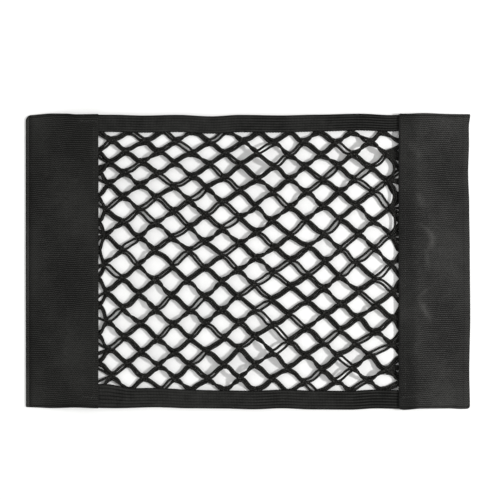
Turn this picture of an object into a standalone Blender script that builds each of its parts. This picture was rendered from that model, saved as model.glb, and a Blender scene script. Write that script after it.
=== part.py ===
"""Seat back storage net: a knotless diamond net of twin elastic cords between two wide woven
elastic bands, with its two long edges folded into narrow ribbed elastic binding.

It lies flat on its back. +X runs along its length, +Y across it and +Z up, with the origin on
the floor under the middle of the whole thing. Lengths are metres; MM turns millimetres into them.
"""

import math

import bmesh
import bpy
import numpy as np

MM = 0.001

# The whole thing, laid out.
LENGTH = 390 * MM
HEIGHT = 260 * MM
BAND_WIDTH = {"left": 64.2 * MM, "right": 62.2 * MM}
BINDING_WIDTH = 14.8 * MM
GAP = 0.3 * MM

# The net: its lattice of joints, counted in columns from the left and rows from the top.
COLUMN_STEP = 14.53 * MM  # half a mesh across
ROW_STEP = 11.37 * MM  # half a mesh down
COLUMNS = range(-1, 19)
ROWS = range(0, 21)
FIRST_COLUMN_X = -123.8 * MM
FIRST_ROW_Y = 114.0 * MM
SIDE_COLUMN_X = {-1: -130.6 * MM, 18: 134.8 * MM}  # the end columns, drawn in to the bands
FIELD_X = LENGTH / 2 - max(BAND_WIDTH.values())  # half the open field of net
FIELD_Y = 113.7 * MM
NET_END_X = 141.5 * MM  # the net's cut edges, under the bands and inside the bindings
NET_END_Y = 121.5 * MM
CORD_THICK = 2.2 * MM
JOINT_THICK = 3.0 * MM
EDGE_THICK = 2.0 * MM  # where the binding squeezes it
JOINT_LONG = 2.8 * MM  # half a joint along X
JOINT_ACROSS = 3.7 * MM  # half a joint along Y
LEG_HALF = 2.0 * MM  # half a leg's width where its two cords part
LEG_HALF_SPREAD = 0.35 * MM
LEG_LIFT = 0.4 * MM  # how far a leg stands above the joints' underside
# 0 for a straight leg, 1 for one that leaves its joint along X; for rising and falling legs
LEG_S = {1: 0.10, -1: 0.19}
LEG_BOW = {1: -0.54 * MM, -1: 0.39 * MM}  # how far its middle bows to the left of its way
MESH_CORNER = 0.55 * MM  # the least half opening beside a joint
STUB_HALF = 1.7 * MM  # half a leg's width at the cut edge
STUB_LEAST = 0.3  # a shorter share of a leg than this is left off at the cut edge
STRAY = 0.6 * MM  # how far a joint usually lies from its place, and at most
STRAY_MOST = 1.6 * MM
SEED = 2472

# The binding: one tape folded round the net's edge, so two plies with the net between them.
PLY = 0.9 * MM
SLOT = EDGE_THICK + 2 * GAP
BINDING_THICK = 2 * PLY + SLOT
BINDING_RIBS = 5
RIB_DEPTH = 0.35 * MM
FOLD_ROUND = 0.8 * MM
FOLD_WALL = 2.4 * MM  # from the fold to the bottom of the slot
BINDING_END_X = 142.5 * MM
NET_IN_SLOT = PLY + GAP

# The bands: one ply of webbing, flat but for the inner margin that laps the net and binding.
BAND_THICK = 1.8 * MM
LAP_OVER_BINDING = BINDING_THICK + GAP
LAP_OVER_NET = CORD_THICK + 3 * GAP
LAP_FOOT = 42.0 * MM  # the ramp's foot and head, in from the outer side
LAP_HEAD = 51.4 * MM
LAP_STEP_FROM = 84 * MM  # where the margin starts to step up on to the binding
LAP_STEP_LONG = 14 * MM

# How the sewn edges pull the lattice out of true, with u and v from -1 to 1 across the field.
# axis, amount, power of u, power of v, whether it dies out at the bindings
DRIFT = (
    ("y", 3.4 * MM, 0, 0, True),
    ("y", -6.8 * MM, 1, 0, True),
    ("y", 6.9 * MM, 0, 1, True),
    ("x", -6.6 * MM, 1, 0, False),
    ("x", 8.3 * MM, 1, 0, True),
)
# How close to a binding or band the net is level again, and over what length it gets there.
ENTRY_LEVEL = 3 * MM
ENTRY_RISE = 12 * MM
# Places where the joints crowd to one side.
# axis, x, y, radius, amount
CROWDS = (
    ("y", -90 * MM, 42 * MM, 28 * MM, 2.1 * MM),
    ("y", 30 * MM, 30 * MM, 34 * MM, -2.8 * MM),
    ("y", 94 * MM, 52 * MM, 34 * MM, 3.2 * MM),
    ("y", -46 * MM, -6 * MM, 26 * MM, 2.4 * MM),
    ("y", -88 * MM, -66 * MM, 28 * MM, -2.4 * MM),
    ("y", 2 * MM, -66 * MM, 32 * MM, 4.0 * MM),
    ("y", 52 * MM, -100 * MM, 28 * MM, -3.6 * MM),
    ("x", -32 * MM, -26 * MM, 50 * MM, -1.8 * MM),
    ("x", 60 * MM, -26 * MM, 40 * MM, 1.4 * MM),
    ("x", 0 * MM, 106 * MM, 40 * MM, 2.2 * MM),
    ("x", 128 * MM, -36 * MM, 30 * MM, 3.0 * MM),
)
# Where the slack net stands off the floor, and the share of each hump that is cut off flat.
PUCKER_FOOT = 0.12
# x, y, radius along x, radius along y, height
PUCKERS = (
    (2 * MM, 80 * MM, 20 * MM, 28 * MM, 3.0 * MM),
    (104 * MM, 92 * MM, 24 * MM, 18 * MM, 4.2 * MM),
    (-4 * MM, -94 * MM, 20 * MM, 18 * MM, 3.6 * MM),
    (22 * MM, -72 * MM, 20 * MM, 30 * MM, 3.4 * MM),
    (88 * MM, -92 * MM, 22 * MM, 16 * MM, 3.2 * MM),
    (112 * MM, 8 * MM, 14 * MM, 56 * MM, 2.6 * MM),
)
# The outer edge of each binding, from left to right: x, y.
TOP_EDGE = (
    (-143, 128.7), (-118, 128.5), (-90, 127.8), (-62, 128.4), (-31, 127.1), (-6, 128.4),
    (30, 127.9), (62, 128.6), (98, 129.4), (126, 128.2), (143, 128.8),
)
BOTTOM_EDGE = (
    (-143, -128.2), (-115, -128.6), (-80, -127.8), (-50, -128.7), (-20, -128.9), (5, -129.6),
    (30, -128.7), (58, -129.7), (90, -129.9), (112, -128.8), (143, -129.4),
)
# How much wider than BINDING_WIDTH the folded tape is, from left to right: x, extra.
TOP_EXTRA = ((-143, 0.2), (-90, 0.0), (0, 0.2), (60, -0.2), (98, -0.4), (122, -0.6), (143, -1.4))
BOTTOM_EXTRA = ((-143, 5.8), (-125, 6.0), (-98, 2.0), (-20, 0.8), (5, 1.2), (60, 1.4), (143, 1.4))
# The two ends of each band as (x, y), and its outer side as (y, x).
BAND_EDGES = {
    "left": {
        "top": ((-195, 128.2), (-172, 129.7), (-160, 129.5), (-149, 128.7), (-130, 128.9)),
        "bottom": ((-195, -127.9), (-172, -128.6), (-149, -127.8), (-130, -128.4)),
        "side": ((-130, -194.8), (0, -195.0), (130, -195.0)),
    },
    "right": {
        "top": ((132, 129.3), (140, 129.2), (155, 129.8), (180, 129.3), (195, 129.2)),
        "bottom": (
            (132, -129.2), (136, -129.8), (151, -128.8), (176, -129.0), (187, -129.5), (195, -129.3),
        ),
        "side": (
            (-130, 194.7), (-98, 194.2), (-48, 195.0), (10, 194.6), (50, 194.1), (78, 193.2),
            (105, 193.9), (119, 193.8), (130, 195.0),
        ),
    },
}
# The radius of each outer corner.
CORNER = {"left_top": 5.0 * MM, "left_bottom": 1.4 * MM, "right_top": 0.7 * MM, "right_bottom": 2.6 * MM}
# The soft upright crease in the right band: its middle, half length, half width, height and sway.
CREASE = {
    "x": 158.5 * MM, "y": -3 * MM, "long": 62 * MM, "wide": 4.6 * MM, "high": 1.5 * MM, "sway": 1.3 * MM,
}

# Where the bands' mesh has its lines: distances in from the outer side, shares of the height.
BAND_STATIONS = (0, 2.2, 6, 14, 23, 32, 36.5, LAP_FOOT / MM, 46, LAP_HEAD / MM, 57)
BAND_ROWS = (-1, -0.98, -0.94, -0.86, -0.76, -0.62, -0.47, -0.32, -0.16)
BINDING_SECTIONS = 30

FINISHES = {
    "left_band_webbing": ((0.0195, 0.0195, 0.0180), 0.86),
    "right_band_webbing": ((0.0310, 0.0310, 0.0290), 0.84),
    "binding_tape": ((0.0190, 0.0190, 0.0180), 0.82),
    "net_cord": ((0.0125, 0.0125, 0.0115), 0.88),
}


def clear_scene():
    """Removes whatever the file opens with."""
    for thing in list(bpy.data.objects):
        bpy.data.objects.remove(thing, do_unlink=True)


def finish(name):
    """A plain Principled material with one of the colours and roughnesses in FINISHES."""
    colour, roughness = FINISHES[name]
    material = bpy.data.materials.new(name)
    material.use_nodes = True
    shader = material.node_tree.nodes["Principled BSDF"]
    shader.inputs["Base Color"].default_value = (*colour, 1)
    shader.inputs["Roughness"].default_value = roughness
    shader.inputs["Metallic"].default_value = 0
    return material


def add_solid(name, points, faces, material):
    """Makes one object from points and faces, with every face turned outwards."""
    mesh = bpy.data.meshes.new(name)
    mesh.from_pydata([tuple(p) for p in points], [], faces)
    shape = bmesh.new()
    shape.from_mesh(mesh)
    bmesh.ops.recalc_face_normals(shape, faces=shape.faces)
    shape.to_mesh(mesh)
    shape.free()
    mesh.materials.append(material)
    solid = bpy.data.objects.new(name, mesh)
    bpy.context.scene.collection.objects.link(solid)
    return solid


def ease(t):
    """0 below 0, 1 above 1, and a smooth S between them."""
    t = min(max(t, 0.0), 1.0)
    return t * t * (3 - 2 * t)


def along(table, where):
    """Reads a table of (place, value) rows, in millimetres, as one smooth wave, in metres."""
    places = [row[0] * MM for row in table]
    values = [row[1] * MM for row in table]
    if where <= places[0]:
        return values[0]
    for i in range(len(places) - 1):
        if where <= places[i + 1]:
            share = (where - places[i]) / (places[i + 1] - places[i])
            return values[i] + (values[i + 1] - values[i]) * ease(share)
    return values[-1]


# ---- binding ----


def binding_edges(side, x):
    """The y of the folded edge and of the open edge of the top or bottom binding at x."""
    if side == "top":
        outer = along(TOP_EDGE, x)
        return outer, outer - BINDING_WIDTH - along(TOP_EXTRA, x)
    outer = along(BOTTOM_EDGE, x)
    return outer, outer + BINDING_WIDTH + along(BOTTOM_EXTRA, x)


def binding_profile():
    """The folded tape's section as (share of the width from the fold, height) points."""
    top = BINDING_THICK
    slot_low = PLY
    slot_high = PLY + SLOT
    fold = FOLD_ROUND / BINDING_WIDTH
    seat = FOLD_WALL / BINDING_WIDTH
    section = [(1.0, 0.0), (fold, 0.0), (0.0, FOLD_ROUND), (0.0, top - FOLD_ROUND)]
    for step in range(2 * BINDING_RIBS + 1):
        share = fold + (1.0 - fold) * step / (2 * BINDING_RIBS)
        section.append((share, top if step % 2 else top - RIB_DEPTH))
    section += [(1.0, slot_high), (seat, slot_high), (seat, slot_low), (1.0, slot_low)]
    return section


def add_binding(side, material):
    """Carries the folded section along the edge of the net."""
    section = binding_profile()
    points = []
    for i in range(BINDING_SECTIONS + 1):
        x = -BINDING_END_X + 2 * BINDING_END_X * i / BINDING_SECTIONS
        outer, inner = binding_edges(side, x)
        for share, height in section:
            points.append((x, outer + (inner - outer) * share, height))
    around = len(section)
    faces = [tuple(range(around)), tuple(reversed(range(len(points) - around, len(points))))]
    for i in range(BINDING_SECTIONS):
        for j in range(around):
            a = i * around + j
            b = i * around + (j + 1) % around
            faces.append((a, b, b + around, a + around))
    return add_solid(f"{side}_binding", points, faces, material)


# ---- bands ----


def corner_trim(inward, radius):
    """How far a round corner draws the end edge in, at inward from the side edge."""
    if inward >= radius:
        return 0.0
    return radius - math.sqrt(radius**2 - (radius - inward) ** 2)


def lap_height(inward, y):
    """The underside of a band: 0, then up a short ramp on to the net and the binding."""
    over_net = 1 - ease((abs(y) - LAP_STEP_FROM) / LAP_STEP_LONG)
    full = LAP_OVER_BINDING + (LAP_OVER_NET - LAP_OVER_BINDING) * over_net
    share = (inward - LAP_FOOT) / (LAP_HEAD - LAP_FOOT)
    return full * min(max(share, 0.0), 1.0)


def crease_height(x, y):
    """A soft ridge that sways as it runs up the right band and fades at both ends."""
    along_it = (y - CREASE["y"]) / CREASE["long"]
    middle = CREASE["x"] + CREASE["sway"] * math.sin(5.2 * along_it)
    across = (x - middle) / CREASE["wide"]
    if abs(along_it) >= 1 or abs(across) >= 1:
        return 0.0
    return CREASE["high"] * (1 - along_it**2) * (1 - across**2)


def band_point(side, inward, share):
    """Where the band's mesh line at inward from its outer side crosses the row at share of its height."""
    outer_x = LENGTH / 2 * (-1 if side == "left" else 1)
    end = "top" if share > 0 else "bottom"
    x = outer_x * (1 - inward / (LENGTH / 2))
    edges = BAND_EDGES[side]
    length = abs(along(edges[end], x)) - corner_trim(inward, CORNER[f"{side}_{end}"])
    slack = (along(edges["side"], share * HEIGHT / 2) - outer_x) * (1 - ease(inward / BAND_WIDTH[side]))
    return x + slack, share * length


def add_band(side, material):
    """One ply of webbing on a grid: across it from the outer side, and up it by rows."""
    stations = [s * MM for s in BAND_STATIONS]
    stations.append(BAND_WIDTH[side])
    rows = list(BAND_ROWS) + [0] + [-r for r in reversed(BAND_ROWS)]
    wide = len(stations)
    points = []
    for share in rows:
        for inward in stations:
            x, y = band_point(side, inward, share)
            low = lap_height(inward, y)
            if side == "right":
                low += crease_height(x, y)
            points.append((x, y, low))
            points.append((x, y, low + BAND_THICK))
    faces = []
    for r in range(len(rows) - 1):
        for s in range(wide - 1):
            a = 2 * (r * wide + s)
            ring = (a, a + 2, a + 2 + 2 * wide, a + 2 * wide)
            faces.append(ring)
            faces.append(tuple(i + 1 for i in reversed(ring)))
    rim = [2 * s for s in range(wide)]
    rim += [2 * (r * wide + wide - 1) for r in range(1, len(rows))]
    rim += [2 * ((len(rows) - 1) * wide + s) for s in range(wide - 2, -1, -1)]
    rim += [2 * r * wide for r in range(len(rows) - 2, 0, -1)]
    for a, b in zip(rim, rim[1:] + rim[:1]):
        faces.append((a, a + 1, b + 1, b))
    return add_solid(f"{side}_band", points, faces, material)


# ---- net ----


def joint_places():
    """Where each joint of the net lies, for the lattice and one ring of joints past its cut edge."""
    chance = np.random.default_rng(SEED)
    places = {}
    for column in range(COLUMNS[0] - 1, COLUMNS[-1] + 2):
        for row in range(ROWS[0] - 1, ROWS[-1] + 2):
            stray_x, stray_y = chance.normal(0, STRAY, 2)
            x = FIRST_COLUMN_X + column * COLUMN_STEP
            y = FIRST_ROW_Y - row * ROW_STEP
            u = x / FIELD_X
            v = y / FIELD_Y
            fade = max(1 - v * v, 0)
            move = {"x": 0.0, "y": 0.0}
            for axis, amount, power_u, power_v, fades in DRIFT:
                move[axis] += amount * u**power_u * v**power_v * (fade if fades else 1)
            for axis, centre_x, centre_y, radius, amount in CROWDS:
                far = ((x - centre_x) ** 2 + (y - centre_y) ** 2) / radius**2
                move[axis] += amount * math.exp(-far)
            loose = 0.35 + 0.65 * min(fade * 3, 1)
            across = SIDE_COLUMN_X.get(column, x + move["x"])
            places[column, row] = (
                across + min(max(stray_x, -STRAY_MOST), STRAY_MOST),
                y + move["y"] + min(max(stray_y, -STRAY_MOST), STRAY_MOST) * loose,
            )
    return places


def into_binding(x, y):
    """0 out in the field, rising to 1 a little before the net enters a binding."""
    mouth = abs(binding_edges("top" if y > 0 else "bottom", x)[1])
    return ease(1 - (mouth - ENTRY_LEVEL - abs(y)) / ENTRY_RISE)


def under_net(x, y):
    """The height of the net's underside: on the floor, up in its puckers, and in the slots."""
    edge = into_binding(x, y)
    free = (1 - edge) * ease((FIELD_X - ENTRY_LEVEL - abs(x)) / ENTRY_RISE)
    height = 0.0
    for centre_x, centre_y, radius_x, radius_y, rise in PUCKERS:
        far = ((x - centre_x) / radius_x) ** 2 + ((y - centre_y) / radius_y) ** 2
        height = max(height, rise * (math.exp(-far) - PUCKER_FOOT))
    return height * free + NET_IN_SLOT * edge


class Net:
    """The net's mesh, made of upright posts that slabs join into joints and legs."""

    sides = {"NE": ("N", "E"), "SE": ("E", "S"), "SW": ("S", "W"), "NW": ("W", "N")}
    steps = {"NE": (1, -1), "SE": (1, 1), "SW": (-1, 1), "NW": (-1, -1)}
    back = {"NE": "SW", "SE": "NW", "SW": "NE", "NW": "SE"}

    def __init__(self):
        self.points = []
        self.faces = []
        self.places = joint_places()
        self.chance = np.random.default_rng(SEED + 1)
        self.hubs = {}

    def post(self, x, y, thick, lift=0.0):
        """One upright edge of the net, from its underside to its top."""
        low = under_net(x, y) + lift * (1 - into_binding(x, y))
        self.points.append((x, y, low))
        self.points.append((x, y, low + thick))
        return len(self.points) // 2 - 1

    def slab(self, a, b, c, d):
        """The under and upper faces between four posts."""
        self.faces.append((2 * a, 2 * b, 2 * c, 2 * d))
        self.faces.append((2 * d + 1, 2 * c + 1, 2 * b + 1, 2 * a + 1))

    def wall(self, a, b):
        """The side face between two posts."""
        self.faces.append((2 * a, 2 * a + 1, 2 * b + 1, 2 * b))

    def thickness(self, x, y, full):
        """Full thickness in the field, EDGE_THICK in a binding and CORD_THICK under a band."""
        in_field = ease((FIELD_X - abs(x)) / ENTRY_RISE)
        thick = CORD_THICK + (full - CORD_THICK) * in_field
        return thick + (EDGE_THICK - thick) * into_binding(x, y)

    def add_joint(self, column, row):
        """A joint is a low lozenge with a post at each of its four points."""
        x, y = self.places[column, row]
        thick = self.thickness(x, y, JOINT_THICK)
        corners = {"N": (0, 1), "E": (1, 0), "S": (0, -1), "W": (-1, 0)}
        hub = {}
        for name, (across, up) in corners.items():
            hub[name] = self.post(x + across * JOINT_LONG, y + up * JOINT_ACROSS, thick)
        self.slab(hub["N"], hub["E"], hub["S"], hub["W"])
        self.hubs[column, row] = hub

    def rail(self, start, end, share, half):
        """The posts either side of a leg at a share of its way, on its S-shaped, bowed middle line."""
        dx, dy = end[0] - start[0], end[1] - start[1]
        way = 1 if dy > 0 else -1
        fall = share - LEG_S[way] * math.sin(2 * math.pi * share) / (2 * math.pi)
        steep = 1 - LEG_S[way] * math.cos(2 * math.pi * share)
        long = math.hypot(dx, dy * steep)
        across = (-dy * steep / long, dx / long)
        bow = LEG_BOW[way] * math.sin(math.pi * share)
        x = start[0] + dx * share + across[0] * bow
        y = start[1] + dy * fall + across[1] * bow
        room = (min(fall, 1 - fall) * abs(dy) - MESH_CORNER) / abs(across[1])
        half = min(half, room)
        thick = self.thickness(x, y, CORD_THICK)
        left = self.post(x + across[0] * half, y + across[1] * half, thick, LEG_LIFT)
        right = self.post(x - across[0] * half, y - across[1] * half, thick, LEG_LIFT)
        return left, right

    def add_leg(self, key, heading):
        """A leg from one joint to the next: three slabs that swell in the middle."""
        column, row = key
        step = self.steps[heading]
        other = (column + step[0], row + step[1])
        start, end = self.places[key], self.places[other]
        half = LEG_HALF + LEG_HALF_SPREAD * self.chance.uniform(-1, 1)
        first, last = self.hubs[key], self.hubs[other]
        left_name, right_name = self.sides[heading]
        far_right, far_left = self.sides[self.back[heading]]
        rails = [(first[left_name], first[right_name])]
        rails += [self.rail(start, end, share, half) for share in (1 / 3, 2 / 3)]
        rails.append((last[far_left], last[far_right]))
        self.join(rails)

    def add_stub(self, key, heading):
        """A leg that ends at the net's cut edge, inside a binding or under a band."""
        column, row = key
        step = self.steps[heading]
        start, end = self.places[key], self.places[column + step[0], row + step[1]]
        dx, dy = end[0] - start[0], end[1] - start[1]
        left_name, right_name = self.sides[heading]
        hub = self.hubs[key]
        share = 1.0
        if abs(end[0]) > NET_END_X:
            share = min(share, (NET_END_X - abs(start[0])) / abs(dx))
        if abs(end[1]) > NET_END_Y:
            share = min(share, (NET_END_Y - abs(start[1])) / abs(dy))
        if share < STUB_LEAST:
            self.wall(hub[left_name], hub[right_name])
            return
        x, y = start[0] + dx * share, start[1] + dy * share
        long = math.hypot(dx, dy)
        across = (-dy / long * STUB_HALF, dx / long * STUB_HALF)
        thick = self.thickness(x, y, CORD_THICK)
        left = self.post(x + across[0], y + across[1], thick)
        right = self.post(x - across[0], y - across[1], thick)
        self.join([(hub[left_name], hub[right_name]), (left, right)])
        self.wall(left, right)

    def join(self, rails):
        """Slabs and side walls along pairs of posts."""
        for (left, right), (next_left, next_right) in zip(rails, rails[1:]):
            self.slab(left, next_left, next_right, right)
            self.wall(left, next_left)
            self.wall(right, next_right)


def add_net(material):
    """Joints on every other crossing of the lattice, legs between them, stubs at the edges."""
    net = Net()
    keys = [(c, r) for c in COLUMNS for r in ROWS if (c + r) % 2]
    for key in keys:
        net.add_joint(*key)
    for column, row in keys:
        for heading, step in Net.steps.items():
            if (column + step[0], row + step[1]) not in net.hubs:
                net.add_stub((column, row), heading)
            elif step[0] > 0:
                net.add_leg((column, row), heading)
    return add_solid("net", net.points, net.faces, material)


def build():
    clear_scene()
    add_band("left", finish("left_band_webbing"))
    add_band("right", finish("right_band_webbing"))
    tape = finish("binding_tape")
    add_binding("top", tape)
    add_binding("bottom", tape)
    add_net(finish("net_cord"))


build()
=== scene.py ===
import math

import bpy
import numpy as np
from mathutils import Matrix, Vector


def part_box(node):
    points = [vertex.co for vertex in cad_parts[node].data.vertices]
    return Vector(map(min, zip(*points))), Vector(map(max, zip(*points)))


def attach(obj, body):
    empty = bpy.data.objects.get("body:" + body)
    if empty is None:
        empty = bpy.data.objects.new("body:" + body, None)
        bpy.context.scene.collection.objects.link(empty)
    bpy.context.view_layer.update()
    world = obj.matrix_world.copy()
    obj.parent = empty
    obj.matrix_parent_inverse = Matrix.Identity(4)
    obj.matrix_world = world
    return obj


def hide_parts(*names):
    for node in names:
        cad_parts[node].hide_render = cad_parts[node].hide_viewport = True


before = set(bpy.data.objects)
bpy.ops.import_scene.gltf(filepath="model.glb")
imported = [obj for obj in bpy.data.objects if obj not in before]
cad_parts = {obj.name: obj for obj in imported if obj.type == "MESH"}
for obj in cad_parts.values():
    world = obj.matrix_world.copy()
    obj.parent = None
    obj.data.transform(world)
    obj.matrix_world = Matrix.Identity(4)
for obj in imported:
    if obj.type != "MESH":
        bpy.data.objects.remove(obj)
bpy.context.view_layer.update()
print("frame loaded")

mm = 0.001
solid = {name: np.array(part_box(name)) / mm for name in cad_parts}
halfLong = solid["right_band"][1][0]
fieldX = halfLong - (solid["left_band"][1][0] - solid["left_band"][0][0])

# the view from above, the floor, the sky and the lamp
studio = {
    "lens": 100, "sensor": 36, "across": 439, "overX": 1.76, "overY": 10.0,
    "floor": 4000, "floorSteps": 9, "floorDrop": 0.05,
    "floorColour": (0.84, 0.84, 0.835), "floorShade": 0.98,
    "grain": 60.0, "grainShare": 0.1, "grainDeep": 0.01,
    "skyColour": (1.0, 1.0, 0.995), "sky": 0.95,
    "lampHigh": 1230, "lampRight": 1220, "lampUp": 10, "lampWide": 110, "lampPower": 19.0,
}


def addCamera():
    # straight down; the distance is lens / sensor * width of the view
    lens = bpy.data.cameras.new("overhead")
    lens.lens = studio["lens"]
    lens.sensor_width = studio["sensor"]
    camera = bpy.data.objects.new("overhead", lens)
    high = studio["lens"] / studio["sensor"] * studio["across"]
    camera.location = (studio["overX"] * mm, studio["overY"] * mm, high * mm)
    bpy.context.scene.collection.objects.link(camera)
    bpy.context.scene.camera = camera


def addLight():
    # an even white sky and one small lamp, high at the right, aimed at the middle of the net
    world = bpy.data.worlds.new("whiteStudio")
    world.use_nodes = True
    sky = world.node_tree.nodes["Background"]
    sky.inputs["Color"].default_value = (*studio["skyColour"], 1)
    sky.inputs["Strength"].default_value = studio["sky"]
    bpy.context.scene.world = world
    softbox = bpy.data.lights.new("softbox", "AREA")
    softbox.shape = "DISK"
    softbox.size = studio["lampWide"] * mm
    softbox.energy = studio["lampPower"]
    lamp = bpy.data.objects.new("softbox", softbox)
    place = np.array([studio["lampRight"], studio["lampUp"], studio["lampHigh"]])
    lamp.location = place * mm
    tilt = math.atan2(math.hypot(place[0], place[1]), place[2])
    lamp.rotation_euler = (tilt, 0, math.atan2(place[1], place[0]) + math.pi / 2)
    bpy.context.scene.collection.objects.link(lamp)
    bpy.context.scene.view_settings.view_transform = "Standard"


class Wire:
    # one output socket; arithmetic on it adds Math nodes to its finish
    def __init__(self, finish, socket):
        self.finish = finish
        self.socket = socket

    def math(self, operation, *values):
        return self.finish.node("Math", {"operation": operation}, dict(enumerate(values)))

    def __add__(self, other):
        return self.math("ADD", self, other)

    def __sub__(self, other):
        return self.math("SUBTRACT", self, other)

    def __rsub__(self, other):
        return self.math("SUBTRACT", other, self)

    def __mul__(self, other):
        return self.math("MULTIPLY", self, other)

    __radd__ = __add__
    __rmul__ = __mul__

    def wave(self, pitch):
        # sin(2 pi x / pitch)
        return self.math("SINE", self * (2 * math.pi / pitch))

    def ramp(self, low, high):
        # 0 below low, 1 above high, a smooth S between
        return self.finish.node(
            "MapRange", {"interpolation_type": "SMOOTHSTEP"},
            {"Value": self, "From Min": low, "From Max": high},
        )


class Finish:
    # one material; node() is the one way that a node gets into it
    def __init__(self, name, roughness, specular):
        self.material = bpy.data.materials.new(name)
        self.material.use_nodes = True
        self.tree = self.material.node_tree
        self.shader = self.tree.nodes["Principled BSDF"]
        self.shader.inputs["Roughness"].default_value = roughness
        self.shader.inputs["Specular IOR Level"].default_value = specular

    def node(self, kind, settings, sockets, output=0):
        added = self.tree.nodes.new("ShaderNode" + kind)
        for name, value in settings.items():
            setattr(added, name, value)
        for name, value in sockets.items():
            self.feed(added.inputs[name], value)
        return Wire(self, added.outputs[output])

    def feed(self, socket, value):
        if isinstance(value, Wire):
            self.tree.links.new(value.socket, socket)
        elif isinstance(value, tuple) and socket.type == "RGBA":
            socket.default_value = (*value, 1)
        else:
            socket.default_value = value

    def split(self, vector):
        # the x, y and z of a vector, each a Wire
        first = self.node("SeparateXYZ", {}, {0: vector})
        return [Wire(self, out) for out in first.socket.node.outputs]

    def place(self):
        # where a point of the piece is, in millimetres
        spot = self.node("TexCoord", {}, {}, "Object")
        return self.node("VectorMath", {"operation": "SCALE"}, {0: spot, "Scale": 1 / mm})

    def cloth(self):
        # the piece's own map: round and along a cord, or how far across and how proud on a band or tape
        return self.node("UVMap", {"uv_map": "cloth"}, {})

    def noise(self, vector, size, detail):
        return self.node("TexNoise", {}, {"Vector": vector, "Scale": 1 / size, "Detail": detail})

    def mix(self, share, first, second):
        return self.node("Mix", {"data_type": "RGBA"}, {0: share, 6: first, 7: second}, 2)

    def paint(self, colour, relief, depth):
        # colour to Base Color, and relief (0 to 1) as a bump of depth millimetres
        self.feed(self.shader.inputs["Base Color"], colour)
        bump = self.node("Bump", {}, {"Height": relief, "Distance": depth * mm, "Strength": 1.0})
        self.feed(self.shader.inputs["Normal"], bump)
        return self.material


def smooth(t):
    # 3 t^2 - 2 t^3 from 0 to 1, level outside
    t = np.clip(t, 0, 1)
    return t * t * (3 - 2 * t)


def wave(table, x):
    # reads (place, value) rows as one smooth line: v[i] + (v[i+1] - v[i]) smooth(share)
    places, values = np.array(table).T
    x = np.clip(x, places[0], places[-1])
    i = np.clip(np.searchsorted(places, x) - 1, 0, len(places) - 2)
    share = smooth((x - places[i]) / (places[i + 1] - places[i]))
    return values[i] + (values[i + 1] - values[i]) * share


def bell(x, middle, wide):
    # exp(-((x - middle) / wide)^2)
    return np.exp(-(((x - middle) / wide) ** 2))


def tubeFaces(chains, around):
    # chains holds ring numbers, a row for each tube: point k of a ring joins point k of the next
    k = np.arange(around)
    near, far = chains[:, :-1, None] * around, chains[:, 1:, None] * around
    after = (k + 1) % around
    return np.stack([near + k, near + after, far + after, far + k], -1).reshape(-1, 4)


def tubeMap(chains, around, along):
    # the map to go with tubeFaces: u round the ring from 0 to 1, v from along, one value a ring
    k = np.arange(around)
    u = np.stack([k, k + 1, k + 1, k], -1) / around
    u = np.broadcast_to(u, (*chains[:, 1:].shape, around, 4))
    near, far = along[chains[:, :-1]], along[chains[:, 1:]]
    v = np.stack([near, near, far, far], -1)[:, :, None, :]
    return np.stack([u, np.broadcast_to(v, u.shape)], -1).reshape(-1, 2)


def tubeRings(centre, tangent, radius, around, flat=1.0):
    # circles square to the tangent, squeezed from above by flat
    radius = np.broadcast_to(radius, centre.shape[:-1])[..., None, None]
    side = np.cross([0, 0, 1], tangent)
    side = side / np.linalg.norm(side, axis=-1, keepdims=True)
    up = np.cross(tangent, side)
    up = up / np.linalg.norm(up, axis=-1, keepdims=True)
    flat = np.broadcast_to(flat, centre.shape[:-1])[..., None, None]
    turn = 2 * np.pi * np.arange(around)[:, None] / around
    ring = np.cos(turn) * side[..., None, :] + np.sin(turn) * up[..., None, :] * flat
    return (centre[..., None, :] + radius * ring).reshape(-1, around, 3)


def addPiece(name, points, faces, caps, cloth, material):
    # quads and capping polygons over points; cloth is a (u, v) for each corner of the quads
    mesh = bpy.data.meshes.new(name)
    mesh.from_pydata((points.reshape(-1, 3) * mm).tolist(), [], faces.tolist() + [list(c) for c in caps])
    corners = np.zeros((len(mesh.loops), 2))
    corners[: len(cloth)] = cloth
    mesh.uv_layers.new(name="cloth").data.foreach_set("uv", corners.ravel())
    mesh.materials.append(material)
    mesh.shade_smooth()
    piece = bpy.data.objects.new(name, mesh)
    bpy.context.scene.collection.objects.link(piece)
    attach(piece, "root")
    return piece


def addThreads(name, lines, radius, material, around=6):
    # round threads along lines, an array of (thread, place along it, xyz)
    count, steps = lines.shape[:2]
    rings = tubeRings(lines, np.gradient(lines, axis=1), radius, around)
    chains = np.arange(count * steps).reshape(count, steps)
    long = np.linalg.norm(np.diff(lines, axis=1, prepend=lines[:, :1]), axis=-1).cumsum(1).ravel()
    ring = np.arange(around)
    caps = np.concatenate([(chains[:, :1] * around + ring)[:, ::-1], chains[:, -1:] * around + ring])
    return addPiece(
        name, rings, tubeFaces(chains, around), caps, tubeMap(chains, around, long), material,
    )


def helix(line, radius, pitch):
    # winds a thread round line: line + radius (side cos a + up sin a), with a = 2 pi length / pitch
    tangent = np.gradient(line, axis=0)
    long = np.linalg.norm(np.diff(line, axis=0, prepend=line[:1]), axis=-1).cumsum()
    side = np.cross([0, 0, 1], tangent)
    side = side / np.linalg.norm(side, axis=-1, keepdims=True)
    a = (2 * np.pi * long / pitch)[:, None]
    return (line + radius * (side * np.cos(a) + np.array([0, 0, 1]) * np.sin(a)))[None]


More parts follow.
